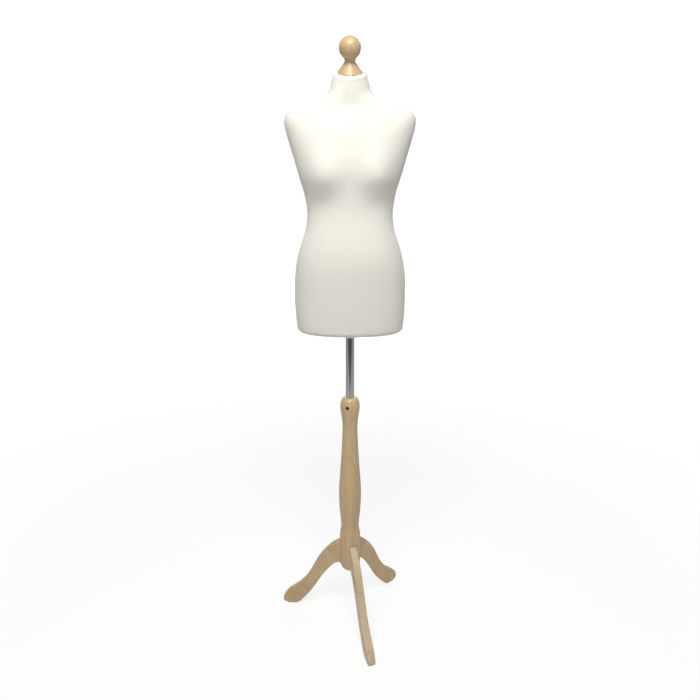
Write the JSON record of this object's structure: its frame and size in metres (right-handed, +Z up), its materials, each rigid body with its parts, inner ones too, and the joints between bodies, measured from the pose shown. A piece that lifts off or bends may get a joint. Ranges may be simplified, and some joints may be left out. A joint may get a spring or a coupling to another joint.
{
  "type": "dress form mannequin",
  "caption": "Female dress form: jersey-covered torso with a turned wooden finial, on a chrome pole that slides and turns in a turned beech column with three shaped legs.",
  "frame": {"origin": "on the floor, at the middle of the object's footprint; the pole's axis stands 22 mm to +X and 26 mm to +Y of it", "axes": "+Z up along the pole, the torso faces -Y, its left-hand side in the front view is -X"},
  "size_m": [0.4017, 0.3902, 1.746],
  "materials": {
    "beech": "clear satin lacquer, fine pores and flecks",
    "dowel_beech": "bare",
    "zinc_steel": "zinc plated",
    "felt": "pressed felt",
    "insert_brass": "machined",
    "nylon": "moulded nylon",
    "black_steel": "black oxide",
    "chrome_tube": "polished chrome plate",
    "jersey": "stretched cream cotton jersey",
    "shell": "moulded, unpainted",
    "plywood": "bare",
    "socket_steel": "satin black paint",
    "elastic": "braided elastic"
  },
  "bodies": {
    "stand": {"column": "beech", "leg_front": "beech", "leg_left": "beech", "leg_right": "beech", "leg_dowels": "dowel_beech", "leg_hanger_bolts": "zinc_steel", "leg_washers": "zinc_steel", "leg_nuts": "zinc_steel", "foot_pads": "felt", "clamp_insert": "insert_brass"},
    "clamp_pad": {"clamp_pad": "nylon"},
    "clamp_screw": {"clamp_screw": "black_steel"},
    "pole": {"pole_tube": "chrome_tube", "pole_bottom_guide": "nylon"},
    "swivel": {"swivel_plug": "nylon"},
    "torso": {"jersey_cover": "jersey", "torso_shell_front": "shell", "torso_shell_back": "shell", "base_board": "plywood", "neck_block": "plywood", "shell_screws": "zinc_steel", "socket_screws": "zinc_steel", "pole_socket": "socket_steel", "hem_elastic": "elastic", "finial": "beech", "finial_screw": "zinc_steel"}
  },
  "joints": [
    {"name": "height_slide", "type": "slide", "parent": "stand", "child": "pole", "axis": [0, 0, 1], "range_m": [-0.17, 0.18]},
    {"name": "torso_swivel", "type": "hinge", "parent": "pole", "child": "swivel", "pos_m": [0.022, 0.026, 0.99], "axis": [0, 0, 1], "continuous": true},
    {"name": "torso_lift", "type": "slide", "parent": "swivel", "child": "torso", "axis": [0, 0, 1], "range_m": [0, 0.1]},
    {"name": "clamp_travel", "type": "slide", "parent": "stand", "child": "clamp_pad", "axis": [-0.2756, -0.9613, 0], "range_m": [0, 0.0025]},
    {"name": "clamp_turn", "type": "hinge", "parent": "clamp_pad", "child": "clamp_screw", "pos_m": [0.01649, 0.00677, 0.719], "axis": [-0.2756, -0.9613, 0], "range_deg": [0, 720]}
  ],
  "couplings": [
    {"joint": "clamp_turn", "follows": "clamp_travel", "rad_per_m": 5026.5}
  ]
}
